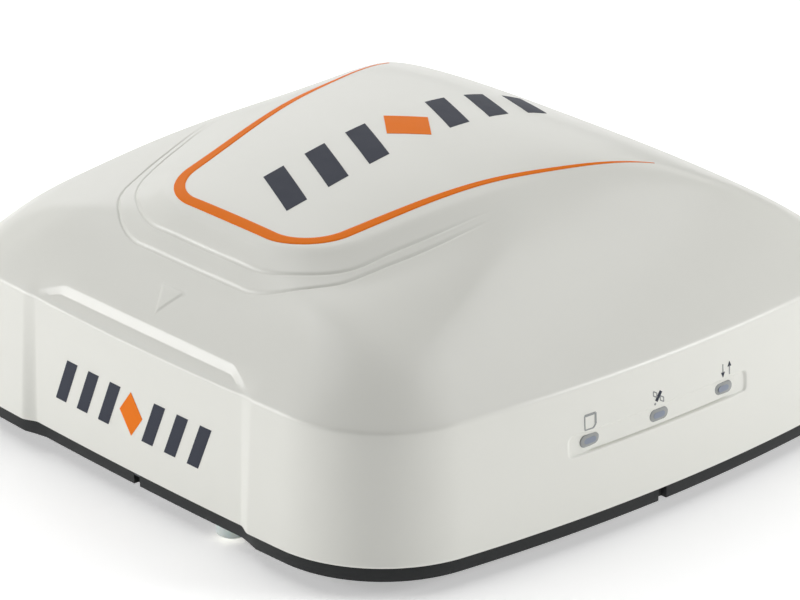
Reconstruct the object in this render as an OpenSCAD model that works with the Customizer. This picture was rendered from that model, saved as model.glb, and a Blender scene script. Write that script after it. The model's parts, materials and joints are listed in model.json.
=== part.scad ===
/* [Body] */
// Width and depth of the housing at its widest level
body_w = 162; // [150:1:180]
// Radius of the four upright corners
corner_r = 29.7; // [24:0.5:34]
// How far the middle of the front and rear walls bows out
bow_front = 1.4; // [0.6:0.1:3]
// How far the middle of the side walls bows out
bow_side = 4.3; // [2:0.1:6]
// Height of the upright wall of the cover
wall_h = 29.9; // [26:0.5:36]
// Inward draft of that wall from bottom to top
wall_draft = 1.8; // [1:0.1:3]
// Rise of the roof above the top of the wall
roof_rise = 31; // [26:0.5:34]
// Wall thickness of the cover
skin = 2.6; // [2:0.1:3]

/* [Base] */
// Height of the black rim under the cover
rim_h = 3.6; // [3:0.1:5]
// How far the rim stands back from the cover
rim_inset = 1.5; // [0.5:0.1:2.5]
// Height of the rubber feet
foot_h = 4; // [3:0.5:6]
// Radius of the bore that takes the pole thread
pole_r = 6.75; // [6:0.05:8]
// Depth of the pole thread
pole_depth = 12; // [10:1:13]
// Spacing of the four bracket holes
bracket_pitch = 60; // [50:1:70]
// Radius of the bracket holes
bracket_r = 2.1; // [1.6:0.1:2.6]

/* [Rear panel] */
// Width of the panel that carries the sockets
panel_w = 95.4; // [92:0.2:97]
// Height of the visible face of the panel
panel_h = 22; // [21:0.5:23]
// Outer radius of a socket barrel
socket_r = 7.3; // [7:0.1:7.4]
// Inner radius of a socket barrel
socket_bore_r = 5.75; // [5:0.05:6]

/* [Lamps] */
// Distance between neighbouring light pipes
lamp_pitch = 20; // [18:0.5:21]
// Height of the light pipes above the ground
lamp_z = 24.6; // [22:0.1:26]

/* [Hidden] */
$fn = 64;
eps = 0.01;

// ---- plan outline: four shallow side arcs joined by tangent corner arcs ----
half = body_w / 2;
bow_span = 60;
function bow_radius(b) = (bow_span * bow_span + b * b) / (2 * b);
rad_y = bow_radius(bow_front);
rad_x = bow_radius(bow_side);
cen_y = [0, half - rad_y];
cen_x = [half - rad_x, 0];
cen_gap = norm(cen_x - cen_y);
reach_y = rad_y - corner_r;
reach_x = rad_x - corner_r;
along = (reach_y * reach_y - reach_x * reach_x + cen_gap * cen_gap) / (2 * cen_gap);
across = sqrt(reach_y * reach_y - along * along);
dir = (cen_x - cen_y) / cen_gap;
corner = cen_y + along * dir + across * [dir[1], -dir[0]];
ang_x = atan2(corner[1] - cen_x[1], corner[0] - cen_x[0]);
ang_y = atan2(corner[1] - cen_y[1], corner[0] - cen_y[0]);
side_n = 8;
corner_n = 9;
function polar(c, r, a) = c + r * [cos(a), sin(a)];
function arc(centre, r, from, to, n) = [for (i = [0 : n - 1]) polar(centre, r, from + (to - from) * i / n)];
function quarter(e, fine) = concat(
    arc(cen_x, rad_x - e, 0, ang_x, side_n * fine),
    arc(corner, corner_r - e, ang_x, ang_y, corner_n * fine),
    arc(cen_y, rad_y - e, ang_y, 90, side_n * fine));
// Closed outline, inset by e, counter-clockwise from the +X axis, with fine times as many points
function outline(e, fine = 1) = let (q = quarter(e, fine), n = len(q), top = [0, half - e]) concat(
    q, [top],
    [for (i = [n - 1 : -1 : 0]) [-q[i][0], q[i][1]]],
    [for (i = [1 : n - 1]) [-q[i][0], -q[i][1]]],
    [-top],
    [for (i = [n - 1 : -1 : 1]) [q[i][0], -q[i][1]]]);
outline_n = len(outline(0));

// ---- levels ----
rim_z = foot_h;
wall_z = foot_h + rim_h;
crease_z = wall_z + wall_h;
floor_z = foot_h + 3;

// ---- roof: a dome that rises from the wall, cut by a ramp that peaks over the middle ----
crease_half = half - wall_draft;
ease = function (t) let (c = max(0, min(1, t))) c * c * (3 - 2 * c);
function soft_min(a, b, k) = (a + b) / 2 - sqrt((a - b) * (a - b) / 4 + k * k);
// Raised hood: tapered outline, narrow at the front, growing wider to the rear
hood_front = -51;
hood_half = 23.7;
hood_taper = 0.21;
hood_corner = 11.6;
hood_rise = 2.5;
// The flat top ends this far outside the outline, and the fall from there is this wide
hood_flat = 4.2;
hood_fall = 13;
hood_fade = 15;
function hood_gap(p) = let (
    side = abs(p[0]) - hood_half - hood_taper * (p[1] - hood_front),
    dx = side / sqrt(1 + hood_taper * hood_taper) + hood_corner,
    dy = hood_front - p[1] + hood_corner)
    norm([max(dx, 0), max(dy, 0)]) + min(max(dx, dy), 0) - hood_corner;
function hood(p) = hood_rise * ease((hood_fade - p[1]) / (hood_fade - hood_front))
    * pow(1 - max(0, min(1, (hood_gap(p) - hood_flat) / hood_fall)), 2);
// Ramp along the centre line, in powers of the way to the rear, and its fall to either side
ramp_span = 80;
ramp_along = [8, -31, -21, 14];
ramp_across = [8.8, -7];
function ramp(p) = let (x = p[0] / ramp_span, y = p[1] / ramp_span)
    roof_rise + ramp_along * [y, y * y, pow(y, 3), pow(y, 4)] - ramp_across * [1, y] * x * x;
// Dome: how fast it rises from the wall, and how that slows toward the middle
dome_rise = 76.5;
dome_slow = 39.6;
function dome(rim, g) = let (
    even = 1 + (norm(rim) / crease_half - 1) * ease(2 * g),
    t = (1 - g) * even)
    dome_rise * t - dome_slow * t * t;
// Softness of the line where dome and ramp meet
blend = [1.6, -0.6];
function raw_rise(rim, g) = let (p = rim * g)
    soft_min(dome(rim, g), ramp(p), blend * [1, p[1] / ramp_span]) + hood(p);
// Rise above the wall top at fraction g of the way out to the rim point
function rise(rim, g) = raw_rise(rim, g) - raw_rise(rim, 1) * pow(g, 12);

// ---- front recess: the wall and the lip of the roof step back over the middle of the front ----
recess_half = 35.1;
recess_step = 3.8;
recess_low = 1.65;
recess_top = 0.5;
// Pocket in the lip of the roof: a sloping ledge, then a riser whose foot and head slant off at the ends
ledge_slope = 0.72;
riser_foot = [[29.2, -76], [34.8, -78.4]];
riser_head = [[28.8, -74.75], [38.9, -78.6]];
riser_round = 1.5;
function recess(x) = 1 - ease((abs(x) - recess_half) / recess_step);
function in_front(p) = p[1] < -half / 2 ? 1 : 0;
function set_back(p, d) = [p[0], p[1] + in_front(p) * recess(p[0]) * d];
// Distance outside a plan line that runs along the front and slants off from line[0] to line[1]
function pocket_gap(p, line) = let (
    run = line[1][0] - line[0][0],
    fall = line[0][1] - line[1][1],
    dx = abs(p[0]) - line[0][0],
    dy = p[1] - line[0][1])
    max(dy, (dx * fall + dy * run) / norm([run, fall]));
function ledge_cut(p, z) = let (
    ledge = ledge_slope * max(p[1] + crease_half - recess_top, 0),
    foot = pocket_gap(p, riser_foot),
    head = pocket_gap(p, riser_head),
    climb = max(0, min(1, foot / max(foot - head, eps))))
    head < 0 ? in_front(p) * max(z - crease_z - ledge, 0) * pow(1 - climb, riser_round) : 0;

// ---- cover shell ----
flange_w = 6.5;
flange_h = 3;
roof_drop = 3.4;
lip_start = 0.93;
roof_steps = [0.985, 0.96, 0.944, 0.925, 0.9, 0.86, 0.81, 0.75, 0.68, 0.6, 0.51, 0.41, 0.3, 0.18, 0.07];
inner_steps = [0.975, 0.95, 0.92, 0.88, 0.8, 0.7, 0.58, 0.44, 0.28, 0.1];
inner_scale = (crease_half - skin) / crease_half;
function flat_ring(e, z, back) = [for (p = outline(e)) let (q = set_back(p, back)) [q[0], q[1], z]];
function roof_ring(g) = [for (p = outline(wall_draft)) let (
    z = crease_z + rise(p, g),
    q = set_back(p * g, recess_top * ease((g - lip_start) / (1 - lip_start))))
    [q[0], q[1], z - ledge_cut(p * g, z)]];
function lining_ring(g) = [for (p = outline(wall_draft)) let (k = g * inner_scale)
    [p[0] * k, p[1] * k, crease_z + rise(p, k) - roof_drop]];
function mid(ring) = let (n = len(ring)) [for (k = [0 : 2]) [for (p = ring) p[k]] * [for (p = ring) 1] / n];

module shell() {
    outer = concat([flat_ring(0, wall_z, recess_low)],
                   [flat_ring(wall_draft / 2, wall_z + wall_h / 2, (recess_low + recess_top) / 2)],
                   [flat_ring(wall_draft, crease_z, recess_top)],
                   [for (g = roof_steps) roof_ring(g)]);
    inner = concat([flat_ring(flange_w, wall_z, 0)],
                   [flat_ring(flange_w, wall_z + flange_h, 0)],
                   [flat_ring(skin + 1, wall_z + flange_h + 2, recess_low)],
                   [flat_ring(wall_draft + skin, crease_z - 1.5, recess_top)],
                   [for (g = inner_steps) lining_ring(g)]);
    rings = concat([for (i = [len(inner) - 1 : -1 : 0]) inner[i]], outer);
    n = outline_n;
    m = len(rings);
    points = concat([for (r = rings) each r], [mid(rings[0])], [mid(rings[m - 1])]);
    sides = [for (j = [0 : m - 2], i = [0 : n - 1]) let (a = j * n + i, b = j * n + (i + 1) % n)
        each [[a, a + n, b + n], [a, b + n, b]]];
    caps = [for (i = [0 : n - 1]) let (b = (i + 1) % n)
        each [[m * n, i, b], [m * n + 1, (m - 1) * n + b, (m - 1) * n + i]]];
    polyhedron(points, concat(sides, caps));
}

// ---- fixings of the cover ----
corner_x = 60;
corner_y = 61;
mid_y = 70.5;
mid_x = 70;
screw_spots = [[corner_x, corner_y], [-corner_x, corner_y], [corner_x, -corner_y], [-corner_x, -corner_y],
               [0, -mid_y], [mid_x, 0], [-mid_x, 0]];
boss_r = 4.2;
boss_top = 18;
insert_r = 2.3;
insert_h = 7;
screw_r = 1.5;
head_r = 2.9;
head_h = 2;
// Window of the rear panel in the rear wall
window_w = panel_w + 0.6;
window_top = wall_z + panel_h + 0.4;
flange_x = panel_w + 8;
flange_top = window_top + 3.2;

module at_screws() {
    for (s = screw_spots) translate(s) children();
}
// Webs that tie the screw bosses to the wall
corner_web = 11.2;
mid_web = 7.3;
module boss_webs() {
    for (s = screw_spots) translate([s[0], s[1], wall_z]) rotate(atan2(s[1], s[0])) translate([0, -1.5, 0])
        cube([norm(s) > half ? corner_web : mid_web, 3, boss_top - wall_z]);
}
// Pill-shaped bar along Y, its round ends cut exactly
module pill_x(length, height, depth) {
    r = height / 2;
    translate([0, -length / 2 + r, -r]) cube([depth, length - height, height]);
    for (s = [-1, 1]) translate([0, s * (length / 2 - r), 0]) rotate([0, 90, 0]) cylinder(r = r, h = depth);
}
lamp_len = 5.6;
lamp_h = 2.9;
strip_len = 53;
strip_h = 4.7;
strip_depth = 0.45;
// The strip's floor follows the bow of the wall
strip_rad = rad_x - wall_draft * (lamp_z - wall_z) / wall_h - strip_depth;
function strip_x(y) = cen_x[0] + sqrt(strip_rad * strip_rad - y * y);

// The cover is one moulded skin.
// resize([0, 0, 0]) leaves its size as it is, and joins its parts into one mesh.
module top_cover() color("whitesmoke") resize([0, 0, 0]) difference() {
    union() {
        shell();
        at_screws() translate([0, 0, wall_z]) cylinder(r = boss_r, h = boss_top - wall_z, $fn = 24);
        boss_webs();
    }
    at_screws() translate([0, 0, wall_z - 1]) cylinder(r = insert_r + 0.1, h = insert_h + 1.5, $fn = 24);
    // window for the rear panel, and the room behind it for the panel's flange
    translate([-window_w / 2, 71, wall_z - 1]) cube([window_w, 14, window_top - wall_z + 1]);
    translate([-flange_x / 2 - 0.4, 70, wall_z - 1]) cube([flange_x + 0.8, 6.7, flange_top - wall_z + 1.3]);
    // lamp strip, and a hole for each light pipe
    difference() {
        translate([strip_x(0) - 3, 0, lamp_z]) pill_x(strip_len, strip_h, 6);
        translate([cen_x[0], 0, lamp_z - strip_h]) cylinder(r = strip_rad, h = 2 * strip_h, $fn = 600);
    }
    for (i = [-1 : 1]) translate([strip_x(0) - 8, i * lamp_pitch, lamp_z]) pill_x(lamp_len, lamp_h, 10);
}

module cover_inserts() color("goldenrod") at_screws() translate([0, 0, wall_z]) difference() {
    cylinder(r = insert_r, h = insert_h);
    translate([0, 0, -eps]) cylinder(r = screw_r - 0.2, h = insert_h + 1);
}

// ---- base ----
notch_w = 2.3;
notch_d = 1.2;
groove_out = 3.2;
groove_w = 2.4;
groove_depth = 1.5;
hub_r = 22;
hub_top = 16;
pole_out_r = 11;
bracket_out_r = 3.6;
bracket_boss_r = 6;
bracket_top = 12;
bracket_depth = 7;
foot_spot = [46, 59];
foot_r = 6;
vent_spot = [26, -73.5];
vent_r = 2.6;
vent_stem_r = 1.5;

// Slabs of the outline have twice the points of the cover, so that the rim reads as round
rim_fine = 2;
module slab(e, z, h) translate([0, 0, z]) linear_extrude(h) polygon(outline(e, rim_fine));
module front_step(e, z, h) translate([0, 0, z]) linear_extrude(h)
    polygon([for (p = outline(e, rim_fine)) set_back(p, recess_low)]);
module at_brackets() {
    for (sx = [-1, 1], sy = [-1, 1]) translate([sx, sy] * bracket_pitch / 2) children();
}
module at_feet() {
    for (sx = [-1, 1], sy = [-1, 1]) translate([sx * foot_spot[0], sy * foot_spot[1]]) children();
}
standoff_spot = 43;
module at_board_posts() {
    for (sx = [-1, 1], sy = [-1, 1]) translate([sx, sy] * standoff_spot) children();
}
mast_spot = 52.5;
module at_masts() {
    for (sx = [-1, 1], sy = [-1, 1]) translate([sx, sy] * mast_spot) children();
}

// Lugs that hold the rear panel down on the base
lug_spots = [[-46, 70.5], [4, 70.5], [47, 70.5]];
lug_screw_r = 1.1;
lug_head_r = 2.2;
lug_h = 5;
module at_lugs() {
    for (s = lug_spots) translate(s) children();
}

module base_plate() color([0.13, 0.135, 0.14]) difference() {
    union() {
        difference() {
            front_step(rim_inset, rim_z, rim_h);
            slab(flange_w + 2, floor_z, rim_h);
        }
        cylinder(r = hub_r, h = hub_top);
        at_brackets() cylinder(r = bracket_boss_r, h = bracket_top);
        at_board_posts() translate([0, 0, rim_z]) cylinder(r = 4, h = floor_z + 2 - rim_z);
        at_masts() translate([0, 0, rim_z]) cylinder(r = 4, h = floor_z + 2 - rim_z);
        at_screws() translate([0, 0, rim_z]) cylinder(r = boss_r, h = rim_h);
    }
    // seal groove
    difference() {
        slab(groove_out, wall_z - groove_depth, groove_depth + 1);
        slab(groove_out + groove_w, wall_z - groove_depth - 1, groove_depth + 3);
    }
    // pole insert, bracket inserts, posts and cover screws
    translate([0, 0, -1]) cylinder(r = pole_out_r, h = pole_depth + 2);
    at_brackets() translate([0, 0, -1]) cylinder(r = bracket_out_r, h = bracket_depth + 2);
    at_board_posts() translate([0, 0, rim_z + 1]) cylinder(r = screw_r, h = 6);
    at_masts() translate([0, 0, rim_z + 1]) cylinder(r = screw_r, h = 6);
    at_screws() {
        translate([0, 0, rim_z - 1]) cylinder(r = screw_r + 0.2, h = rim_h + 2);
        translate([0, 0, rim_z - 1]) cylinder(r = head_r + 0.2, h = head_h + 1);
    }
    at_lugs() {
        translate([0, 0, rim_z - 1]) cylinder(r = lug_screw_r + 0.2, h = rim_h + 2);
        translate([0, 0, rim_z - 1]) cylinder(r = lug_head_r + 0.2, h = 1.5 + 1);
    }
    at_feet() translate([0, 0, rim_z - 1]) cylinder(r = foot_r + 0.05, h = 1.6);
    translate([vent_spot[0], vent_spot[1], rim_z - 1]) cylinder(r = vent_stem_r + 0.05, h = 6);
    // pry notches near the middle of each side, as [turn, shift along that side]
    for (n = [[0, 1.8], [90, 0], [180, -1.8], [270, -1.2]]) rotate(n[0])
        translate([half - rim_inset - notch_d - 0.3, n[1] - notch_w / 2, rim_z - 1])
            cube([6, notch_w, rim_h + 2]);
}

module rim_seal() color([0.25, 0.27, 0.3]) difference() {
    slab(groove_out + 0.1, wall_z - groove_depth, groove_depth);
    slab(groove_out + groove_w - 0.1, wall_z - groove_depth - 1, groove_depth + 2);
}

module rubber_feet() color([0.2, 0.2, 0.2]) at_feet() {
    cylinder(r1 = foot_r - 1, r2 = foot_r, h = 1);
    translate([0, 0, 1 - eps]) cylinder(r = foot_r, h = rim_z + 0.6 - 1 + eps);
}

module pole_insert() color("gold") difference() {
    cylinder(r = pole_out_r, h = pole_depth + 1);
    translate([0, 0, -1]) cylinder(r = pole_r, h = pole_depth + 1);
}

module bracket_inserts() color("gold") at_brackets() difference() {
    cylinder(r = bracket_out_r, h = bracket_depth + 1);
    translate([0, 0, -1]) cylinder(r = bracket_r, h = bracket_depth + 1);
}

module cover_screws() color("silver") at_screws() translate([0, 0, rim_z]) difference() {
    union() {
        translate([0, 0, 0.2]) cylinder(r = head_r, h = head_h - 0.2);
        translate([0, 0, head_h - eps]) cylinder(r = screw_r - 0.2, h = 7);
    }
    translate([0, 0, -1]) cylinder(r = 1.2, h = 2.4, $fn = 6);
}

module vent_plug() color([0.88, 0.88, 0.84]) translate([vent_spot[0], vent_spot[1], 0]) {
    translate([0, 0, rim_z - eps]) cylinder(r = vent_stem_r, h = 3.5);
    translate([0, 0, 1.4]) cylinder(r = vent_r + 1, h = rim_z - 1.4);
    translate([0, 0, 0.6]) cylinder(r1 = vent_r - 0.4, r2 = vent_r + 1, h = 0.8 + eps);
}

// ---- rear panel ----
panel_in = 76.5;
panel_out = 79.5;
panel_flange = 3;
socket_z = wall_z + 12.3;
power_x = -33;
data_x = -9;
door_x = 26;
door_w = 36;
door_open_w = 31;
door_open_h = 13;
hinge_y = panel_out + 1.8;
hinge_z = wall_z + 1.7;
pin_r = 0.8;
knuckle_r = 1.5;
ear_t = 2;
socket_thread_r = 6.5;
// One hinge: centre x and half-width of the lid's knuckle
hinge_list = [[power_x, 4], [data_x, 4], [door_x, 13]];

lug_reach = panel_in - panel_flange + 3.1 - lug_spots[0][1];
module lid_ears() {
    for (hng = hinge_list, s = [-1, 1])
        translate([hng[0] + s * (hng[1] + 0.2 + ear_t / 2) - ear_t / 2, panel_out - 0.2, wall_z + 0.2])
            cube([ear_t, hinge_y + 1.2 - panel_out + 0.2, 2.8]);
}

module rear_panel() color([0.16, 0.17, 0.18]) difference() {
    union() {
        translate([-panel_w / 2, panel_in - eps, wall_z])
            cube([panel_w, panel_out - panel_in + eps, panel_h]);
        translate([-flange_x / 2, panel_in - panel_flange, wall_z])
            cube([flange_x, panel_flange, flange_top - wall_z]);
        lid_ears();
        at_lugs() {
            translate([-3, -3, wall_z]) cube([6, lug_reach, lug_h]);
            translate([-3, -3, floor_z]) cube([6, 3.8, wall_z - floor_z + eps]);
        }
    }
    at_lugs() translate([0, 0, floor_z - 1]) cylinder(r = lug_screw_r, h = lug_h + 0.6);
    for (x = [power_x, data_x]) translate([x, panel_in - 5, socket_z]) rotate([-90, 0, 0])
        cylinder(r = socket_thread_r + 0.1, h = 20);
    translate([door_x - door_open_w / 2, panel_in - 5, socket_z - door_open_h / 2])
        cube([door_open_w, 20, door_open_h]);
    for (hng = hinge_list) translate([hng[0] - hng[1] - 4, hinge_y, hinge_z]) rotate([0, 90, 0])
        cylinder(r = pin_r, h = 2 * hng[1] + 8);
    // groove for the panel seal
    translate([0, panel_in - 1, 0]) panel_ring(0, 2);
}

// Upside-down U that seals the panel's flange against the wall behind the window
module panel_ring(clear, depth) {
    w = flange_x - 2 * clear - 1;
    t = 2 - 2 * clear;
    top = flange_top - 0.6 - clear;
    translate([-w / 2, 0, top - t]) cube([w, depth, t]);
    for (s = [-1, 1]) translate([s * (w - t) / 2 - t / 2, 0, wall_z + 1])
        cube([t, depth, top - wall_z - 1]);
}
module panel_seal() color([0.25, 0.27, 0.3]) translate([0, panel_in - 1, 0]) panel_ring(0.1, 1.15);

module panel_screws() color("silver") at_lugs() translate([0, 0, rim_z]) {
    translate([0, 0, 0.1]) cylinder(r = lug_head_r, h = 1.4);
    translate([0, 0, 1.5 - eps]) cylinder(r = lug_screw_r - 0.05, h = 6);
}

// ---- sockets ----
socket_len = 4;
thread_y = 68;
seal_t = 0.5;
core_y = 71;
core_h = 5.5;
contact_r = 0.5;
contact_ring = 3;
contact_n = 5;
nut_r = 9;
nut_t = 2.8;
module along_y(x, y) translate([x, y, socket_z]) rotate([-90, 0, 0]) children();
module at_sockets(y) {
    for (x = [power_x, data_x]) along_y(x, y) children();
}
module socket_body(x) along_y(x, 0) difference() {
    union() {
        translate([0, 0, thread_y]) cylinder(r = socket_thread_r, h = panel_out - thread_y + seal_t + eps);
        translate([0, 0, panel_out + seal_t]) cylinder(r = socket_r, h = socket_len);
    }
    translate([0, 0, thread_y - 1]) cylinder(r = socket_bore_r, h = 30);
}
module power_socket() color("silver") socket_body(power_x);
module data_socket() color("silver") socket_body(data_x);
module at_contacts() {
    for (i = [0 : contact_n - 1]) rotate(90 + 360 * i / contact_n)
        translate([contact_ring, 0, 0]) children();
}
module socket_cores() color([0.1, 0.1, 0.1]) at_sockets(core_y) difference() {
    cylinder(r = socket_bore_r, h = core_h);
    at_contacts() translate([0, 0, -1]) cylinder(r = contact_r, h = core_h + 2);
}
module socket_contacts() color("gold") at_sockets(core_y - 1.5) at_contacts()
    cylinder(r = contact_r, h = core_h + 3);
module socket_seals() color([0.6, 0.2, 0.15]) at_sockets(panel_out) difference() {
    cylinder(r = socket_r, h = seal_t);
    translate([0, 0, -1]) cylinder(r = socket_thread_r, h = seal_t + 2);
}
module socket_nuts() color("silver") at_sockets(panel_in - panel_flange - nut_t) difference() {
    cylinder(r = nut_r, h = nut_t, $fn = 6);
    translate([0, 0, -1]) cylinder(r = socket_thread_r, h = nut_t + 2);
}

// ---- hinged lids ----
cap_gap = 0.3;
cap_in_r = socket_r + 0.6;
cap_out_r = cap_in_r + 1.3;
cap_depth = seal_t + socket_len + 0.4;
cap_top = 1.4;
module knuckle(w) translate([-w, hinge_y, hinge_z]) rotate([0, 90, 0]) cylinder(r = knuckle_r, h = 2 * w);
module knuckle_bore(w) translate([-w - 1, hinge_y, hinge_z]) rotate([0, 90, 0])
    cylinder(r = pin_r + 0.05, h = 2 * w + 2);
module socket_cap(x) {
    w = hinge_list[0][1];
    translate([x, 0, 0]) difference() {
        union() {
            along_y(0, panel_out + cap_gap) cylinder(r = cap_out_r, h = cap_depth - cap_gap + cap_top);
            translate([-w, hinge_y - 1, hinge_z]) cube([2 * w, 2, socket_z - cap_in_r - hinge_z]);
            knuckle(w);
            translate([-3, panel_out + 2.2, socket_z + cap_out_r - 0.8]) cube([6, 3.2, 1.8]);
        }
        along_y(0, panel_out) cylinder(r = cap_in_r, h = cap_depth);
        knuckle_bore(w);
    }
}
module power_cap() color([0.12, 0.12, 0.13]) socket_cap(power_x);
module data_cap() color([0.12, 0.12, 0.13]) socket_cap(data_x);

door_gap = 0.4;
door_t = 2.4;
door_h = 16.5;
door_low = hinge_z + 2.6;
lip_clear = 0.5;
lip_depth = 1.5;
module door_lip(grow, y, d) translate([door_x - door_open_w / 2 + lip_clear - grow, y,
                                       socket_z - door_open_h / 2 + lip_clear - grow])
    cube([door_open_w - 2 * lip_clear + 2 * grow, d, door_open_h - 2 * lip_clear + 2 * grow]);
module sim_door() color([0.16, 0.17, 0.18]) difference() {
    union() {
        translate([door_x - door_w / 2, panel_out + door_gap, door_low]) cube([door_w, door_t, door_h]);
        door_lip(0, panel_out - lip_depth, lip_depth + door_gap + 1);
        translate([door_x, 0, 0]) knuckle(hinge_list[2][1]);
        translate([door_x - hinge_list[2][1], hinge_y - 1, hinge_z])
            cube([2 * hinge_list[2][1], 2, door_low - hinge_z + 1]);
        translate([door_x - 5, panel_out + door_gap + door_t - 1, door_low + door_h - 2])
            cube([10, 2.2, 2]);
    }
    translate([door_x, 0, 0]) knuckle_bore(hinge_list[2][1]);
}
module sim_door_seal() color([0.6, 0.2, 0.15]) difference() {
    door_lip(1.2, panel_out + 0.05, door_gap - 0.05);
    door_lip(0, panel_out - 1, 3);
}
module hinge_pins() color("silver") for (hng = hinge_list)
    translate([hng[0] - hng[1] - 0.2 - ear_t, hinge_y, hinge_z]) rotate([0, 90, 0])
        cylinder(r = pin_r, h = 2 * (hng[1] + 0.2 + ear_t));

// ---- service board behind the door ----
io_z = 14.2;
io_t = 1.2;
io_x = [8, 44];
io_y = [50.5, 73.2];
io_posts = [[13, 54.5], [39, 54.5]];
module io_board() color("darkgreen") difference() {
    translate([io_x[0], io_y[0], io_z]) cube([io_x[1] - io_x[0], io_y[1] - io_y[0], io_t]);
    for (s = io_posts) translate([s[0], s[1], io_z - 1]) cylinder(r = 1.2, h = 4);
}
sim_at = [11, 59];
sim_size = [16.5, 14.2, 2.4];
module sim_holder() color("silver") translate([sim_at[0], sim_at[1], io_z + io_t]) difference() {
    cube(sim_size);
    translate([1.4, 0.8, 0.7]) cube([sim_size[0] - 2.8, sim_size[1], 1]);
}
module sim_card() color("gold") translate([sim_at[0] + 1.6, sim_at[1] + 1, io_z + io_t + 0.75])
    cube([sim_size[0] - 3.2, sim_size[1] - 1, 0.8]);
module usb_port() color("silver") translate([32, io_y[1] - 7.4, io_z + io_t]) difference() {
    cube([9, 7.4, 3.2]);
    translate([0.5, 1, 0.5]) cube([8, 8, 2.2]);
}

// ---- electronics ----
board_half = 48.5;
board_z = 18;
board_t = 1.6;
board_top = board_z + board_t;
post_low = floor_z + 2;
module hex_post(z, h, r) translate([0, 0, z]) difference() {
    cylinder(r = r, h = h, $fn = 6);
    translate([0, 0, -1]) cylinder(r = screw_r, h = h + 2);
}
module main_board() color("darkgreen") difference() {
    translate([-board_half, -board_half, board_z]) cube([2 * board_half, 2 * board_half, board_t]);
    at_board_posts() translate([0, 0, board_z - 1]) cylinder(r = 1.6, h = 4);
    // corners cut back to clear the antenna masts
    at_masts() translate([0, 0, board_z - 1]) cylinder(r = 6.5, h = 4);
}
module board_standoffs() color("goldenrod") {
    at_board_posts() hex_post(post_low, board_z - post_low, 3.2);
    for (s = io_posts) translate(s) hex_post(floor_z, io_z - floor_z, 2.8);
}
module cap_screw(z, head) translate([0, 0, z]) difference() {
    union() {
        cylinder(r = head, h = 2);
        translate([0, 0, -5]) cylinder(r = 1.3, h = 5 + eps);
    }
    translate([0, 0, 0.8]) cylinder(r = 1.2, h = 2, $fn = 6);
}
module board_screws() color("silver") at_board_posts() cap_screw(board_top, 2.6);

gnss_size = [46, 58];
gnss_at = [-36, -32];
gnss_z = board_top + 2;
can_h = 3.4;
module gnss_module() color("darkgreen") translate([gnss_at[0], gnss_at[1], gnss_z])
    cube([gnss_size[0], gnss_size[1], 1.2]);
module gnss_shield() color("silver") translate([gnss_at[0] + 2, gnss_at[1] + 4, gnss_z + 1.2])
    cube([gnss_size[0] - 4, amp_half - gnss_at[1] - 4, can_h]);
module modem_module() color("silver") translate([14, 8, board_top]) {
    cube([30, 28, 0.8]);
    translate([0.8, 0.8, 0.8 - eps]) cube([28.4, 26.4, 1.8]);
}
module wireless_module() color("silver") translate([18, -38, board_top]) {
    cube([18, 13, 0.8]);
    translate([0.6, 0.6, 0.8 - eps]) cube([12, 11.8, 1.6]);
}
module power_parts() color([0.3, 0.3, 0.32]) translate([0, 0, board_top]) {
    for (i = [0 : 2]) translate([14 + i * 11, -20, 0]) cube([9, 9, 4.6]);
    for (i = [0 : 2]) translate([19 + i * 10.5, -3, 0]) cylinder(r = 4, h = 9);
}
wire_header = [12, 6, 5.4];
module board_headers() color([0.1, 0.1, 0.1]) {
    for (y = [gnss_at[1] + 1, gnss_at[1] + gnss_size[1] - 4])
        translate([gnss_at[0] + 4, y, board_top]) cube([38, 3, gnss_z - board_top]);
    for (x = [power_x, data_x]) translate([x - wire_header[0] / 2, 40, board_top]) cube(wire_header);
}
harness_z = 21.8;
module socket_harness() color([0.1, 0.1, 0.1]) for (x = [power_x, data_x])
    translate([x, 40 + wire_header[1], harness_z]) rotate([-90, 0, 0])
        cylinder(r = 1.9, h = core_y - 1.6 - 40 - wire_header[1]);

// ---- antenna stack ----
plate_z = 36;
plate_t = 1.5;
plate_half = 58;
plate_r = 10;
plate_in = plate_half - plate_r;
amp_half = 20;
amp_h = 5;
stack_z = plate_z + plate_t;
patch_z = stack_z + 1.6;
low_patch = [60, 8];
high_patch = [42, 7];
foil = 0.2;
high_z = patch_z + low_patch[1] + foil;
feed_r = 0.6;
module at_feeds() {
    for (s = [[7, 0], [0, 7], [-7, 0], [0, -7]]) translate(s) children();
}
module feed_holes() at_feeds() translate([0, 0, plate_z]) cylinder(r = feed_r, h = 30);
module antenna_standoffs() color("goldenrod") at_masts() hex_post(post_low, plate_z - post_low, 3.2);
module ground_plate() color("lightgray") difference() {
    union() {
        translate([-plate_half, -plate_in, plate_z]) cube([2 * plate_half, 2 * plate_in, plate_t]);
        translate([-plate_in, -plate_half, plate_z]) cube([2 * plate_in, 2 * plate_half, plate_t]);
        for (sx = [-1, 1], sy = [-1, 1]) translate([sx * plate_in, sy * plate_in, plate_z])
            cylinder(r = plate_r, h = plate_t);
    }
    at_masts() translate([0, 0, plate_z - 1]) cylinder(r = 1.6, h = 4);
    feed_holes();
}
module antenna_screws() color("silver") at_masts() cap_screw(stack_z, 2.6);
module antenna_board() color("darkgreen") difference() {
    translate([0, 0, stack_z]) cylinder(r = 46, h = patch_z - stack_z);
    feed_holes();
}
module amplifier_shield() color("silver") translate([-amp_half, -amp_half, plate_z - amp_h])
    cube([2 * amp_half, 2 * amp_half, amp_h]);
module patch(w, z, h) difference() {
    translate([-w / 2, -w / 2, z]) cube([w, w, h]);
    feed_holes();
}
module lower_patch() color("ivory") patch(low_patch[0], patch_z, low_patch[1]);
module upper_patch() color("ivory") patch(high_patch[0], high_z, high_patch[1]);
module patch_electrodes() color("silver") {
    patch(low_patch[0] - 6, high_z - foil, foil);
    patch(high_patch[0] - 6, high_z + high_patch[1], foil);
}
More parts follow.
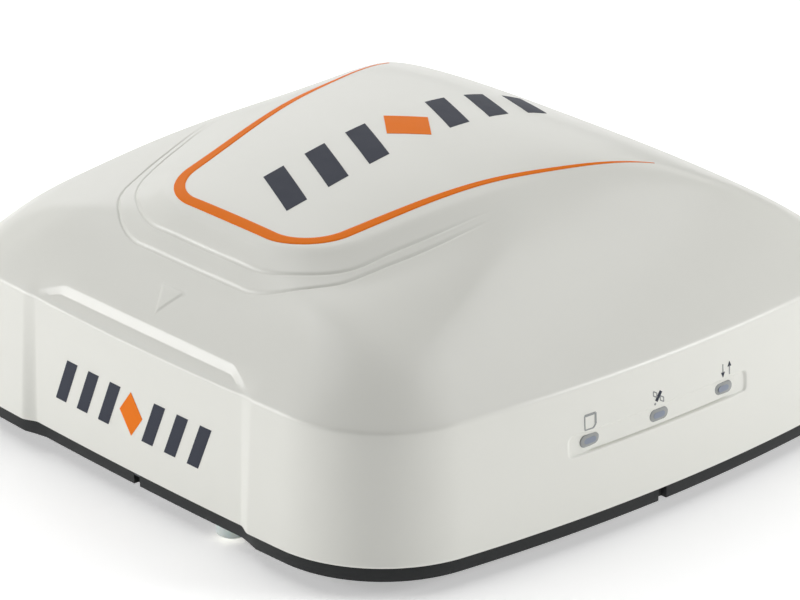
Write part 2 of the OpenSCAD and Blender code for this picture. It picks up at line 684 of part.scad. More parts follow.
module feed_pins() color("gold") at_feeds() translate([0, 0, plate_z]) {
    cylinder(r = feed_r, h = high_z + high_patch[1] + foil - plate_z);
    translate([0, 0, high_z + high_patch[1] + foil - plate_z]) cylinder(r = 1, h = 0.6);
}
// Half loop from the amplifier down to the receiver module
cable_r = 0.9;
cable_high = plate_z - 2.5;
cable_low = gnss_z + 1.2 + can_h / 2;
cable_bend = (cable_high - cable_low) / 2;
cable_x = -12;
module rf_cable() color("peru") translate([cable_x, amp_half, (cable_high + cable_low) / 2])
    rotate([90, 90, 90]) rotate_extrude(angle = 180) translate([cable_bend, 0]) circle(r = cable_r);
module cellular_antenna() color("peru") translate([-75.2, -28, 20]) cube([1.6, 56, 13]);
module wifi_antenna() color("peru") translate([12, -74.6, 20]) cube([30, 1, 10]);

// ---- lamps ----
led_x = 70;
led_t = 1.2;
led_h = 1.2;
module at_lamps() {
    for (i = [-1 : 1]) translate([0, i * lamp_pitch, lamp_z]) children();
}
module led_board() color("darkgreen") translate([led_x, -27, 19.5]) cube([led_t, 54, 12]);
module lamp_chips() color("lightyellow") at_lamps()
    translate([led_x + led_t, -1.6, -0.8]) cube([led_h, 3.2, 1.6]);
pipe_x = led_x + led_t + led_h + 0.3;
pipe_clear = 0.05;
pipe_proud = 0.15;
pipe_collar = [2, 1.2];
module light_pipe(y) translate([pipe_x, y, lamp_z]) {
    pill_x(lamp_len - 2 * pipe_clear, lamp_h - 2 * pipe_clear, strip_x(y) + pipe_proud - pipe_x);
    pill_x(lamp_len + pipe_collar[0], lamp_h + pipe_collar[0], pipe_collar[1]);
}
module light_pipes() color([0.6, 0.64, 0.67]) for (i = [-1 : 1]) light_pipe(i * lamp_pitch);

top_cover();
cover_inserts();
base_plate();
rim_seal();
rubber_feet();
pole_insert();
bracket_inserts();
cover_screws();
vent_plug();
rear_panel();
panel_seal();
panel_screws();
power_socket();
data_socket();
socket_cores();
socket_contacts();
socket_seals();
socket_nuts();
power_cap();
data_cap();
sim_door();
sim_door_seal();
hinge_pins();
io_board();
sim_holder();
sim_card();
usb_port();
main_board();
board_standoffs();
board_screws();
gnss_module();
gnss_shield();
modem_module();
wireless_module();
power_parts();
board_headers();
antenna_standoffs();
ground_plate();
antenna_screws();
antenna_board();
amplifier_shield();
lower_patch();
upper_patch();
patch_electrodes();
feed_pins();
rf_cable();
cellular_antenna();
wifi_antenna();
led_board();
lamp_chips();
light_pipes();
socket_harness();
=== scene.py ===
"""Looks of the GNSS receiver: a white moulded cover with an orange line, on a black cast base."""

import json
import math

import bpy
import bmesh
import numpy as np
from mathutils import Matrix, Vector


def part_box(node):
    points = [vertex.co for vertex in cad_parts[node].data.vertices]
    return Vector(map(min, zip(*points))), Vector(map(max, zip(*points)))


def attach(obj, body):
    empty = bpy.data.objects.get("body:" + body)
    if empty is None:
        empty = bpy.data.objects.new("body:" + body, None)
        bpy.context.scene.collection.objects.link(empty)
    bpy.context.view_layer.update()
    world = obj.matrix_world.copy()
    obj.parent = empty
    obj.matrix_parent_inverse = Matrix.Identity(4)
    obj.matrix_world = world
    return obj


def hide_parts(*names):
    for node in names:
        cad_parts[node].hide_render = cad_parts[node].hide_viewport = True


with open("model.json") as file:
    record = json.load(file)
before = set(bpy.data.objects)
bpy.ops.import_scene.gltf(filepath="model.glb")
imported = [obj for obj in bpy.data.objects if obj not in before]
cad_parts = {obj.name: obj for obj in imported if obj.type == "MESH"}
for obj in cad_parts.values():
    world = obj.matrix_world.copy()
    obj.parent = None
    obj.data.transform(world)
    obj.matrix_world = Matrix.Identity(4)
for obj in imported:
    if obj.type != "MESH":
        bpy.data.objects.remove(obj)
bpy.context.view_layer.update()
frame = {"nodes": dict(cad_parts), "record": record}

MM = 0.001

# ---------------------------------------------------------------- camera
VIEW_AZIMUTH = math.radians(48.22)
VIEW_ELEVATION = math.radians(22.88)
VIEW_DISTANCE = 0.95725
VIEW_TARGET = Vector((-7.18, 3.75, 22.6)) * MM
SENSOR_WIDTH = 36
FOCAL_LENGTH = 189.47


def add_object(name, data):
    made = bpy.data.objects.new(name, data)
    bpy.context.scene.collection.objects.link(made)
    return made


def aim(thing, target, azimuth, elevation, distance):
    """Puts a camera or a light that far from the target and turns it there; azimuth 0 is the front."""
    back = Vector((
        math.sin(azimuth) * math.cos(elevation),
        -math.cos(azimuth) * math.cos(elevation),
        math.sin(elevation),
    ))
    thing.location = target + back * distance
    thing.rotation_mode = "QUATERNION"
    thing.rotation_quaternion = (-back).to_track_quat("-Z", "Y")


def add_camera():
    data = bpy.data.cameras.new("camera")
    data.sensor_width = SENSOR_WIDTH
    data.lens = FOCAL_LENGTH
    camera = add_object("camera", data)
    aim(camera, VIEW_TARGET, VIEW_AZIMUTH, VIEW_ELEVATION, VIEW_DISTANCE)
    bpy.context.scene.camera = camera


add_camera()


# ---------------------------------------------------------------- plan outline, in mm
# The same arcs as the CAD: a bowed side, a corner and a bowed front in each quarter
def node_box(node):
    low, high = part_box(node)
    return np.array(low) / MM, np.array(high) / MM


cover_low, cover_high = node_box("top_cover")
HALF = (cover_high[0] - cover_low[0]) / 2
WALL_LOW = cover_low[2]
WALL_H = 29.9
CREASE_Z = WALL_LOW + WALL_H
WALL_DRAFT = 1.8
SKIN = 2.6
CORNER_R = 29.7
# How far the front and the sides bow out, over a chord of twice the span
BOW_SPAN = 60
BOW_FRONT = 1.4
BOW_SIDE = 4.3
CREASE_HALF = HALF - WALL_DRAFT


def bow_radius(bow):
    return (BOW_SPAN**2 + bow**2) / (2 * bow)


RAD_Y = bow_radius(BOW_FRONT)
RAD_X = bow_radius(BOW_SIDE)
CEN_Y = np.array([0, HALF - RAD_Y])
CEN_X = np.array([HALF - RAD_X, 0])


def corner_centre():
    """Centre of the corner's arc, which meets both bows without a step."""
    reach_y, reach_x = RAD_Y - CORNER_R, RAD_X - CORNER_R
    gap = np.linalg.norm(CEN_X - CEN_Y)
    along = (reach_y**2 - reach_x**2 + gap**2) / (2 * gap)
    across = math.sqrt(reach_y**2 - along**2)
    way = (CEN_X - CEN_Y) / gap
    return CEN_Y + along * way + across * np.array([way[1], -way[0]])


CORNER = corner_centre()
ANG_X = math.atan2(*(CORNER - CEN_X)[::-1])
ANG_Y = math.atan2(*(CORNER - CEN_Y)[::-1])


def stations(end, step, zones):
    """Distances from 0 up to end, closer together in each zone (from, to, step)."""
    places, at = [0.0], 0.0
    while True:
        pace = min([step] + [z[2] for z in zones if z[0] - step < at < z[1]])
        at += pace
        if at > end - pace / 2:
            return np.array(places)
        places.append(at)


def outline_columns(step, zones_x, zones_y, corner_count):
    """Points of the outline and their outward normals, counter-clockwise from +X."""
    side = np.arcsin(stations(RAD_X * math.sin(ANG_X), step, zones_y) / RAD_X)
    turn = ANG_X + (ANG_Y - ANG_X) * np.arange(corner_count) / corner_count
    front = stations(RAD_Y * math.cos(ANG_Y), step, zones_x)[1:][::-1]
    front = np.concatenate([[RAD_Y * math.cos(ANG_Y)], front])
    face = np.arccos(front / RAD_Y)
    angle = np.concatenate([side, turn, face])
    centre = np.concatenate([
        np.tile(CEN_X, (len(side), 1)), np.tile(CORNER, (len(turn), 1)), np.tile(CEN_Y, (len(face), 1)),
    ])
    radius = np.concatenate([
        np.full(len(side), RAD_X), np.full(len(turn), CORNER_R), np.full(len(face), RAD_Y),
    ])
    normal = np.stack([np.cos(angle), np.sin(angle)], 1)
    point = centre + radius[:, None] * normal
    top_point, top_normal = np.array([[0, HALF]]), np.array([[0.0, 1.0]])
    flip_x, flip_y = np.array([-1, 1]), np.array([1, -1])

    def loop(quarter, top):
        left_rear = quarter[::-1] * flip_x
        left_front = (quarter * -1)[1:]
        right_front = (quarter * flip_y)[1:][::-1]
        return np.concatenate([quarter, top, left_rear, left_front, top * flip_y, right_front])

    return loop(point, top_point), loop(normal, top_normal)


# Columns of the mesh: their usual spacing, and closer ones at the arrow, at the pocket's ends and
# at the ends of the lamp strip
COLUMN_STEP = 1.3
FINE_X = [(0, 4, 0.25), (35, 41, 0.35)]
FINE_Y = [(23.5, 28, 0.3)]
CORNER_COLUMNS = 40
RIM, RIM_NORMAL = outline_columns(COLUMN_STEP, FINE_X, FINE_Y, CORNER_COLUMNS)
COLUMNS = len(RIM)
ROOF_RIM = RIM - WALL_DRAFT * RIM_NORMAL
ROOF_REACH = np.linalg.norm(ROOF_RIM, axis=1)
ROOF_ANGLE = np.unwrap(np.arctan2(ROOF_RIM[:, 1], ROOF_RIM[:, 0]))


# ---------------------------------------------------------------- roof surface, in mm, as in the CAD
def ease(t):
    c = np.clip(t, 0, 1)
    return c * c * (3 - 2 * c)


def soft_min(a, b, k):
    return (a + b) / 2 - np.sqrt((a - b) ** 2 / 4 + k * k)


# Raised hood: a tapered outline, whose flat top ends some way outside it and then falls
HOOD_FRONT = -51
HOOD_HALF = 23.7
HOOD_TAPER = 0.21
HOOD_CORNER = 11.6
HOOD_RISE = 2.5
HOOD_FLAT = 4.2
HOOD_FALL = 13
HOOD_FADE = 15
# Ramp along the centre line, in powers of the way to the rear, and its fall to either side
ROOF_RISE = 31
RAMP_SPAN = 80
RAMP_ALONG = (8, -31, -21, 14)
RAMP_ACROSS = (8.8, -7)
# Dome: how fast it rises from the wall, and how that slows toward the middle
DOME_RISE = 76.5
DOME_SLOW = 39.6
# Softness of the line where dome and ramp meet
BLEND = (1.6, -0.6)
FAR_REAR = 1000


def rounded_gap(x, y, side, slope, front, rear, corner):
    """Signed distance outside a round-cornered outline whose half-width at y is side, growing by slope."""
    dx = (np.abs(x) - side) / np.sqrt(1 + slope**2) + corner
    dy = np.maximum(front - y, y - rear) + corner
    return np.hypot(np.maximum(dx, 0), np.maximum(dy, 0)) + np.minimum(np.maximum(dx, dy), 0) - corner


def hood(x, y):
    half = HOOD_HALF + HOOD_TAPER * (y - HOOD_FRONT)
    gap = rounded_gap(x, y, half, HOOD_TAPER, HOOD_FRONT, FAR_REAR, HOOD_CORNER)
    t = np.clip((gap - HOOD_FLAT) / HOOD_FALL, 0, 1)
    return HOOD_RISE * ease((HOOD_FADE - y) / (HOOD_FADE - HOOD_FRONT)) * (1 - t) ** 2


def ramp(x, y):
    u, v = x / RAMP_SPAN, y / RAMP_SPAN
    a, b, c, d = RAMP_ALONG
    fall, growth = RAMP_ACROSS
    return ROOF_RISE + a * v + b * v**2 + c * v**3 + d * v**4 - (fall + growth * v) * u**2


def dome(reach, g):
    """Height over the wall top, at fraction g of the way out to a point of the rim at that reach."""
    even = 1 + (reach / CREASE_HALF - 1) * ease(2 * g)
    t = (1 - g) * even
    return DOME_RISE * t - DOME_SLOW * t * t


def raw_rise(reach, g, x, y):
    softness = BLEND[0] + BLEND[1] * y / RAMP_SPAN
    return soft_min(dome(reach, g), ramp(x, y), softness) + hood(x, y)


# ---------------------------------------------------------------- lines on the roof
# Orange line: front end, half-width there and its growth to the rear, corner radius
LINE_FRONT = -51.3
LINE_HALF = 23.9
LINE_TAPER = 0.168
LINE_FLARE = 0.0008
LINE_BACK = 46
LINE_CORNER = 10.4


def orange_gap(x, y):
    s = y - LINE_FRONT
    half = LINE_HALF + LINE_TAPER * s + LINE_FLARE * s * s
    return rounded_gap(x, y, half, LINE_TAPER + 2 * LINE_FLARE * s, LINE_FRONT, LINE_BACK, LINE_CORNER)


# Terrace lines: front end, half-width there with its growth to the rear, corner radius, lean to the left
INNER_STEP = (-59.0, (31.6, 0.36, -0.0022), 15.5, 2.4)
OUTER_STEP = (-62.8, (32.1, 0.43, -0.0033), 14.0, 2.0)
STEP_REACH = 60
LEAN_SPAN = 25
# Mean slope of a terrace line's side, as a share of its slope at the front
MEAN_SLOPE = 0.8


def step_gap(x, y, front, side, corner, lean):
    """Distance outside a terrace line."""
    s = np.clip(y - front, 0, STEP_REACH)
    half = side[0] + side[1] * s + side[2] * s * s
    across = x + lean * ease(s / LEAN_SPAN)
    return rounded_gap(across, y, half, side[1] * MEAN_SLOPE, front, STEP_REACH, corner)


def inner_step_gap(x, y):
    return step_gap(x, y, *INNER_STEP)


def outer_step_gap(x, y):
    return step_gap(x, y, *OUTER_STEP)


# Each terrace is a low step down with a fine groove along it
STEP_DROP = 0.14
STEP_W = 0.5
GROOVE_DEPTH = 0.32
GROOVE_W = 0.3
STEP_FADE = 13
# Where the terraces end toward the rear, and over what length they fade there
TERRACE_END = -10.0
TERRACE_FADE = 24.0


def terraces(x, y):
    drop = 0
    for gap in (inner_step_gap(x, y), outer_step_gap(x, y)):
        step = ease((gap + STEP_W / 2) / STEP_W) * (1 - ease(gap / STEP_FADE))
        drop = drop + STEP_DROP * step + GROOVE_DEPTH * np.exp(-((gap / GROOVE_W) ** 2))
    return drop * ease((TERRACE_END - y) / TERRACE_FADE)


# Raised arrow: a triangle that points to the front
ARROW_TIP = -72.6
ARROW_BASE = -67.4
ARROW_HALF = 3.7
ARROW_RISE = 0.3
ARROW_EDGE = 0.45
ARROW_SHIFT = 0.3


def arrow(x, y):
    length = ARROW_BASE - ARROW_TIP
    slant = (np.abs(x) * length - (y - ARROW_TIP) * ARROW_HALF) / math.hypot(length, ARROW_HALF)
    return ARROW_RISE * ease(ARROW_SHIFT - np.maximum(slant, y - ARROW_BASE) / ARROW_EDGE)


# Front pocket: the wall steps back, and a ledge cuts the lip of the roof
RECESS_HALF = 35.1
RECESS_EDGE = 3.8
RECESS_LOW = 1.65
RECESS_TOP = 0.5
LEDGE_SLOPE = 0.72
# Riser behind the ledge, in plan: where its foot and head turn from the front, and where each slant ends
RISER_FOOT = (29.2, -76.0)
RISER_FOOT_END = (34.8, -78.4)
RISER_HEAD = (28.8, -74.75)
RISER_HEAD_END = (38.9, -78.6)
RISER_ROUND = 1.5
# From this share of the way out, the roof's lip follows the stepped-back wall
LIP_START = 0.93


def in_front(y):
    return y < -HALF / 2


def recess(x):
    """1 across the recessed part of the front, 0 beside it."""
    t = np.clip((np.abs(x) - RECESS_HALF) / RECESS_EDGE, 0, 1)
    return 1 - (0.5 * t + 0.5 * ease(t))


def pocket_gap(x, y, corner, end):
    """Distance outside a plan outline that runs along the front and slants off from corner to end."""
    run, fall = end[0] - corner[0], corner[1] - end[1]
    slant = ((np.abs(x) - corner[0]) * fall + (y - corner[1]) * run) / math.hypot(run, fall)
    return np.maximum(y - corner[1], slant)


def foot_gap(x, y):
    return pocket_gap(x, y, RISER_FOOT, RISER_FOOT_END)


def head_gap(x, y):
    return pocket_gap(x, y, RISER_HEAD, RISER_HEAD_END)


def ledge_cut(x, y, z):
    """How far the pocket cuts below the roof: a sloping ledge, then a riser up to the roof."""
    run = np.maximum(y + CREASE_HALF - RECESS_TOP, 0)
    below = np.maximum(z - CREASE_Z - LEDGE_SLOPE * run, 0)
    foot, head = foot_gap(x, y), head_gap(x, y)
    climb = np.clip(foot / np.maximum(foot - head, 0.01), 0, 1)
    return np.where(in_front(y) & (head < 0), below * (1 - climb) ** RISER_ROUND, 0)


# What the formulas leave at the wall top is taken off with this power of the way out, so mostly close to it
RIM_POWER = 12


def roof_points(rim, reach, g):
    """Points of the roof at fraction g of the way out to each point of the wall top."""
    x, y = rim[:, 0] * g, rim[:, 1] * g
    rise = raw_rise(reach, g, x, y) - raw_rise(reach, 1.0, rim[:, 0], rim[:, 1]) * g**RIM_POWER
    z = CREASE_Z + rise - terraces(x, y) + arrow(x, y)
    z = z - ledge_cut(x, y, z)
    back = np.where(in_front(y), RECESS_TOP * ease((g - LIP_START) / (1 - LIP_START)) * recess(x), 0)
    return np.stack([x, y + back, z], 1)


def roof_ring(g):
    return roof_points(ROOF_RIM, ROOF_REACH, g * np.ones(COLUMNS))


def on_roof(x, y):
    """Height of the roof above any plan point."""
    angle = np.arctan2(y, x)
    angle = np.where(angle < ROOF_ANGLE[0], angle + 2 * math.pi, angle)
    turn = np.append(ROOF_ANGLE, ROOF_ANGLE[0] + 2 * math.pi)
    reach = np.interp(angle, turn, np.append(ROOF_REACH, ROOF_REACH[0]))
    rim = np.stack([reach * np.cos(angle), reach * np.sin(angle)], 1)
    return roof_points(rim, reach, np.hypot(x, y) / reach)[:, 2]


HALVINGS = 36


def crossing(gap, low=0.02, high=1.0):
    """Fraction of the way out at which gap() turns positive, for each column."""
    low, high = np.full(COLUMNS, low), np.full(COLUMNS, high)
    for _ in range(HALVINGS):
        middle = (low + high) / 2
        outside = gap(ROOF_RIM[:, 0] * middle, ROOF_RIM[:, 1] * middle) > 0
        high = np.where(outside, middle, high)
        low = np.where(outside, low, middle)
    return middle


# ---------------------------------------------------------------- wall surface
# Lamp strip: middle and half-sizes along Y and Z, corner radius, depth, and width of the slanted edge
STRIP_MID = (0.5, 24.4)
STRIP_HALF = (26.6, 2.35)
STRIP_CORNER = 1.1
STRIP_DEPTH = 0.45
STRIP_EDGE = 0.45
# Shadow gap along the strip's lower edge: height, half-width, depth, and where it fades over what length
SEAM_Z = 22.22
SEAM_W = 0.14
SEAM_DEPTH = 0.45
SEAM_END = 19.0
SEAM_FADE = 4


def strip_inset(point, z):
    """How deep the lamp strip and its shadow gap sit in the wall at height z."""
    from_middle = np.abs(point[:, 1] - STRIP_MID[0])
    dy = from_middle - STRIP_HALF[0] + STRIP_CORNER
    dz = np.abs(z - STRIP_MID[1]) - STRIP_HALF[1] + STRIP_CORNER
    gap = np.hypot(np.maximum(dy, 0), np.maximum(dz, 0)) + np.minimum(np.maximum(dy, dz), 0) - STRIP_CORNER
    seam = SEAM_DEPTH * (1 - ease((from_middle - SEAM_END) / SEAM_FADE))
    seam = seam * math.exp(-(((z - SEAM_Z) / SEAM_W) ** 2))
    return np.where(point[:, 0] > 0, STRIP_DEPTH * ease(0.5 - gap / STRIP_EDGE) + seam, 0)


def wall_inset(z):
    return WALL_DRAFT * (z - WALL_LOW) / WALL_H


def recess_depth(z):
    return RECESS_LOW + (RECESS_TOP - RECESS_LOW) * np.clip((z - WALL_LOW) / WALL_H, 0, 1)


def wall_ring(z, extra=0.0):
    inset = wall_inset(z) + extra + strip_inset(RIM, z)
    point = RIM - RIM_NORMAL * np.reshape(inset, (-1, 1))
    back = np.where(in_front(point[:, 1]), recess_depth(z) * recess(point[:, 0]), 0)
    return np.column_stack([point[:, 0], point[:, 1] + back, np.full(COLUMNS, z)])


def blend_rings(a, b, count):
    """count rings from a up to, but not including, b."""
    return [a + (b - a) * i / count for i in range(count)]


# ---------------------------------------------------------------- mesh helpers
def mesh_object(name, points, faces, look, body="housing"):
    """A piece from points in mm, in that material, that rides on the body."""
    mesh = bpy.data.meshes.new(name)
    mesh.from_pydata((np.asarray(points) * MM).tolist(), [], faces)
    mesh.validate()
    mesh.materials.append(look)
    piece = add_object(name, mesh)
    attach(piece, body)
    return piece


def shade(piece, sharp_degrees):
    """Smooth shading, with edges sharper than the angle kept crisp."""
    data = bmesh.new()
    data.from_mesh(piece.data)
    bmesh.ops.recalc_face_normals(data, faces=data.faces)
    limit = math.radians(sharp_degrees)
    for face in data.faces:
        face.smooth = True
    for edge in data.edges:
        edge.smooth = len(edge.link_faces) == 2 and edge.calc_face_angle(0) < limit
    data.to_mesh(piece.data)
    data.free()


def band_faces(first, second, count, closed=True):
    """Quads between two rows of points that start at those indices."""
    last = count if closed else count - 1
    return [(first + i, first + (i + 1) % count, second + (i + 1) % count, second + i) for i in range(last)]


def loft(rings):
    """Points and faces of rings of equal length; each end is closed by a fan."""
    count = len(rings[0])
    points = np.concatenate(rings)
    faces = []
    for i in range(len(rings) - 1):
        faces += band_faces(i * count, (i + 1) * count, count)
    ends = np.array([rings[0].mean(0), rings[-1].mean(0)])
    base, top = len(points), len(points) + 1
    last = (len(rings) - 1) * count
    for i in range(count):
        j = (i + 1) % count
        faces.append((base, j, i))
        faces.append((top, last + i, last + j))
    return np.concatenate([points, ends]), faces


# ---------------------------------------------------------------- cover
# Rings of the roof's mesh: shares of the way from the riser's foot to the crease and to the riser's head,
# places in mm outside each terrace line, and shares of the way out to the orange line
LEDGE_SHARES = (0.2, 0.08)
RISER_SHARES = (0, 0.06, 0.2, 0.36, 0.52, 0.66, 0.78, 0.88, 0.95, 1)
NEAR_LINE = (1.35, 1.1, 0.9, 0.72, 0.54, 0.36, 0.18, 0, -0.18, -0.36, -0.6)
HOOD_SHARES = (1, 0.93, 0.85, 0.76, 0.67, 0.58, 0.49, 0.4, 0.31, 0.22, 0.14, 0.07)
# Rings between those, from the crease in
LEDGE_RINGS = 3
SLOPE_RINGS = 42
TERRACE_RINGS = 2
MARGIN_RINGS = 8
LINE_RINGS = 3
# Where they start again: in mm past the riser's head, past each terrace line and beside the orange line
PAST_HEAD = 0.3
PAST_OUTER = 0.9
PAST_INNER = 1.0
LINE_BAND = 1.0
# The riser's foot, or the ring that stands in for it, is never further out than this share
FOOT_LIMIT = 0.98
# Least distances in mm: foot to head of the riser, head to outer line, outer to inner, inner to orange line
LEAST_RISER = 1.2
LEAST_SLOPE = 9
LEAST_TERRACE = 2.6
LEAST_MARGIN = 2.5


def roof_fractions():
    """Rings of the roof from the crease in to the middle, following the lines on it."""
    mm = 1 / ROOF_REACH
    front = in_front(ROOF_RIM[:, 1])
    foot = np.minimum(crossing(lambda x, y: -foot_gap(x, y), 0.9, 1.0), FOOT_LIMIT)
    foot = np.where(front, foot, FOOT_LIMIT)
    head = np.minimum(crossing(lambda x, y: -head_gap(x, y), 0.9, 1.0), foot - LEAST_RISER * mm)
    head = np.where(front, head, foot - LEAST_RISER * mm)
    outer = np.minimum(crossing(outer_step_gap), head - LEAST_SLOPE * mm)
    inner = np.minimum(crossing(inner_step_gap), outer - LEAST_TERRACE * mm)
    edge = np.minimum(crossing(orange_gap), inner - LEAST_MARGIN * mm)
    crease_end = 1 - CREASE_FILLET * mm
    rings = blend_rings(crease_end, foot + LEDGE_SHARES[0] * (crease_end - foot), LEDGE_RINGS)
    rings += [foot + t * (crease_end - foot) for t in LEDGE_SHARES]
    rings += [foot + t * (head - foot) for t in RISER_SHARES]
    rings += blend_rings(head - PAST_HEAD * mm, outer + NEAR_LINE[0] * mm, SLOPE_RINGS)
    rings += [outer + k * mm for k in NEAR_LINE]
    rings += blend_rings(outer - PAST_OUTER * mm, inner + NEAR_LINE[0] * mm, TERRACE_RINGS)
    rings += [inner + k * mm for k in NEAR_LINE]
    band_outer, band_inner = edge + LINE_BAND * mm, edge - LINE_BAND * mm
    rings += blend_rings(inner - PAST_INNER * mm, band_outer, MARGIN_RINGS)
    rings += blend_rings(band_outer, band_inner, LINE_RINGS)
    rings += [band_inner * t for t in HOOD_SHARES]
    return rings


CREASE_SHARES = (0, 0.2, 0.4, 0.6, 0.8)


def crease_rings(low, corner, high):
    """Rings of the fillet between the wall and the roof, as a curve drawn to the crease."""
    return [low * (1 - t) ** 2 + corner * 2 * t * (1 - t) + high * t**2 for t in CREASE_SHARES]


# Heights of the wall's rings, closer together at the edges of the lamp strip and at its shadow gap
BELOW_STRIP = (8.6, 10.2, 13, 16.2, 19.4, 21.2, 21.6, 21.8)
AT_SEAM = (21.95, 22.05, 22.13, 22.2, 22.27, 22.35, 22.5)
IN_STRIP = (23, 23.8, 24.4, 25, 25.8)
STRIP_TOP = (26.3, 26.55, 26.7, 26.85, 27, 27.2, 27.6)
ABOVE_STRIP = (29.5, 32, 34.4)
WALL_LEVELS = BELOW_STRIP + AT_SEAM + IN_STRIP + STRIP_TOP + ABOVE_STRIP
# Rings of the lining under the roof, as shares of the way out, and how far it lies below the roof
LINING_STEPS = (0.975, 0.95, 0.92, 0.88, 0.8, 0.7, 0.58, 0.44, 0.28, 0.12)
ROOF_DROP = 3.4
# Flange inside the wall's foot, fillet at the crease, and the foot's rounded lip with its flat land
FLANGE_W = 6.5
FLANGE_H = 3
CREASE_FILLET = 0.7
WALL_LIP = 0.45
LIP_SHARE = 0.3
LIP_LAND = 1.2
# The lining starts this far above the flange and a little thicker, and turns in this far below the crease
LINING_FOOT = (2, 0.7)
LINING_TURN = 1.5
COVER_SHARP = 50


def lining_ring(g):
    scale = (CREASE_HALF - SKIN) / CREASE_HALF
    return roof_ring(g) * [scale, scale, 1] - [0, 0, ROOF_DROP]


def make_cover(look):
    outer = [wall_ring(WALL_LOW, inset) for inset in (LIP_LAND, WALL_LIP)]
    outer.append(wall_ring(WALL_LOW + WALL_LIP * LIP_SHARE, WALL_LIP * LIP_SHARE))
    outer.append(wall_ring(WALL_LOW + WALL_LIP))
    outer += [wall_ring(z) for z in WALL_LEVELS]
    roof = [roof_ring(g) for g in roof_fractions()]
    outer += crease_rings(wall_ring(CREASE_Z - CREASE_FILLET), wall_ring(CREASE_Z), roof[0]) + roof
    inner = [
        wall_ring(WALL_LOW, FLANGE_W),
        wall_ring(WALL_LOW + FLANGE_H, FLANGE_W),
        wall_ring(WALL_LOW + FLANGE_H + LINING_FOOT[0], SKIN + LINING_FOOT[1]),
        wall_ring(CREASE_Z - LINING_TURN, SKIN),
    ]
    inner += [lining_ring(g) for g in LINING_STEPS]
    points, faces = loft(inner[::-1] + outer)
    cover = mesh_object("cover_shell", points, faces, look)
    cut_window(cover)
    shade(cover, COVER_SHARP)
    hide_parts("top_cover")


def box_object(name, low, high):
    points = [(x, y, z) for x in (low[0], high[0]) for y in (low[1], high[1]) for z in (low[2], high[2])]
    faces = [(0, 1, 3, 2), (4, 6, 7, 5), (0, 4, 5, 1), (2, 3, 7, 6), (0, 2, 6, 4), (1, 5, 7, 3)]
    mesh = bpy.data.meshes.new(name)
    mesh.from_pydata((np.array(points) * MM).tolist(), [], faces)
    return add_object(name, mesh)


def apply_modifiers(piece):
    bpy.context.view_layer.update()
    graph = bpy.context.evaluated_depsgraph_get()
    mesh = bpy.data.meshes.new_from_object(piece.evaluated_get(graph))
    piece.modifiers.clear()
    piece.data = mesh


def cut_box(piece, low, high):
    """Cuts a box, given by two corners in mm, out of the piece."""
    cutter = box_object("cutter", low, high)
    cut = piece.modifiers.new("cut", "BOOLEAN")
    cut.operation = "DIFFERENCE"
    cut.solver = "EXACT"
    cut.object = cutter
    apply_modifiers(piece)
    bpy.data.objects.remove(cutter)


# Opening for the rear panel: half-width, height, and where it starts; the flange's room starts further in
WINDOW_HALF = 48.0
WINDOW_H = 22.4
WINDOW_Y = 71
FLANGE_Y = 68
FLANGE_FACE = 76.7
PANEL_GAP = 0.4
PANEL_HEADROOM = 0.3
# How far a cutter reaches past the faces that it opens
PAST_REAR = 9
PAST_FOOT = 1


def cut_window(cover):
    """The opening for the rear panel, and room behind it for the panel's flange."""
    panel_low, panel_high = node_box("rear_panel")
    below = WALL_LOW - PAST_FOOT
    cut_box(cover, (-WINDOW_HALF, WINDOW_Y, below), (WINDOW_HALF, HALF + PAST_REAR, WALL_LOW + WINDOW_H))
    room_low = (panel_low[0] - PANEL_GAP, FLANGE_Y, below)
    cut_box(cover, room_low, (panel_high[0] + PANEL_GAP, FLANGE_FACE, panel_high[2] + PANEL_HEADROOM))


# ---------------------------------------------------------------- materials
def linear(rgb):
    """Linear colour of an 8-bit display colour."""
    out = []
    for c in rgb:
        c = c / 255
        out.append(c / 12.92 if c <= 0.04045 else ((c + 0.055) / 1.055) ** 2.4)
    return out


# How much coarser than the grain the changes of colour and of gloss are, and how much finer the relief is
COLOUR_COARSER = 14
GLOSS_COARSER = 5
RELIEF_FINER = 2
RELIEF_STRENGTH = 0.5


